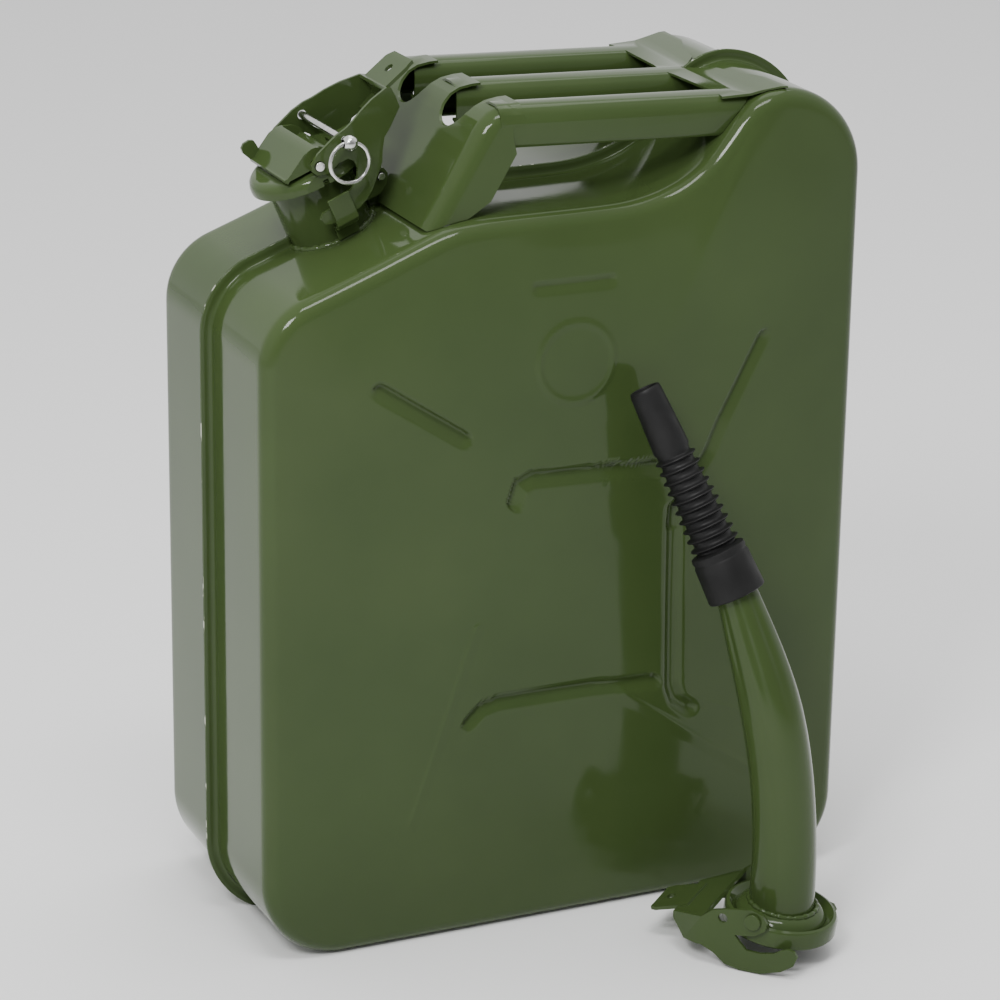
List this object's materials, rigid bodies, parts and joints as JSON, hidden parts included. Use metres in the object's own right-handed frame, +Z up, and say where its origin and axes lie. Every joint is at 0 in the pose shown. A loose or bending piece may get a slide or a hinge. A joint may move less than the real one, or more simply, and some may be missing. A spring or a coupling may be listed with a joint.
{
  "type": "jerry can",
  "caption": "Pressed-steel fuel can with a bar handle, a hinged cap closed by a cam lever with a locking pin, and a loose flexible-tipped pouring spout standing beside it.",
  "frame": {"origin": "on the ground at the lower edge of the seam flange, at the middle of the can's width and depth", "axes": "+Z up; X along the can's width with the neck and cap towards -X; -Y towards the panel the spout stands at"},
  "size_m": [0.35, 0.279, 0.4648],
  "materials": {
    "olive_enamel": "high gloss",
    "bright_steel": "bright zinc",
    "black_rubber": "matt"
  },
  "bodies": {
    "can": {"body_front_half": "olive_enamel", "body_rear_half": "olive_enamel", "handle": "olive_enamel", "neck": "olive_enamel", "breather_tube": "bright_steel", "keeper_front": "olive_enamel", "keeper_rear": "olive_enamel", "hinge_strap": "olive_enamel", "hinge_pin": "bright_steel"},
    "cap": {"cap": "olive_enamel", "cap_gasket": "black_rubber", "cap_bracket": "olive_enamel", "lever_pivot": "bright_steel"},
    "lever": {"cap_lever": "olive_enamel"},
    "pin": {"locking_pin": "bright_steel"},
    "ring": {"pin_ring": "bright_steel"},
    "spout": {"spout_collar": "olive_enamel", "spout_gasket": "black_rubber", "spout_pipe": "olive_enamel", "spout_nozzle": "black_rubber", "spout_rivet_near": "olive_enamel", "spout_rivet_far": "olive_enamel"},
    "spout_lever": {"spout_lever": "olive_enamel"}
  },
  "joints": [
    {"name": "cap_hinge", "type": "hinge", "parent": "can", "child": "cap", "pos_m": [-0.07919, 0, 0.40525], "axis": [0, 1, 0], "range_deg": [0, 25]},
    {"name": "lever_hinge", "type": "hinge", "parent": "cap", "child": "lever", "pos_m": [-0.12083, 0, 0.4189], "axis": [0, -1, 0], "range_deg": [0, 110]},
    {"name": "pin_slide", "type": "slide", "parent": "lever", "child": "pin", "axis": [0, -1, 0], "range_m": [0, 0.07]},
    {"name": "ring_swing", "type": "hinge", "parent": "pin", "child": "ring", "pos_m": [-0.10681, -0.0365, 0.43102], "axis": [-1, 0, 0], "range_deg": [0, 80]},
    {"name": "spout_lift", "type": "slide", "parent": "can", "child": "spout", "axis": [0, -0.5, 0.866], "range_m": [0, 0.3]},
    {"name": "spout_lever_hinge", "type": "hinge", "parent": "spout", "child": "spout_lever", "pos_m": [0.08756, -0.15691, 0.03009], "axis": [0.7408, 0.6717, 0], "range_deg": [0, 55]}
  ]
}
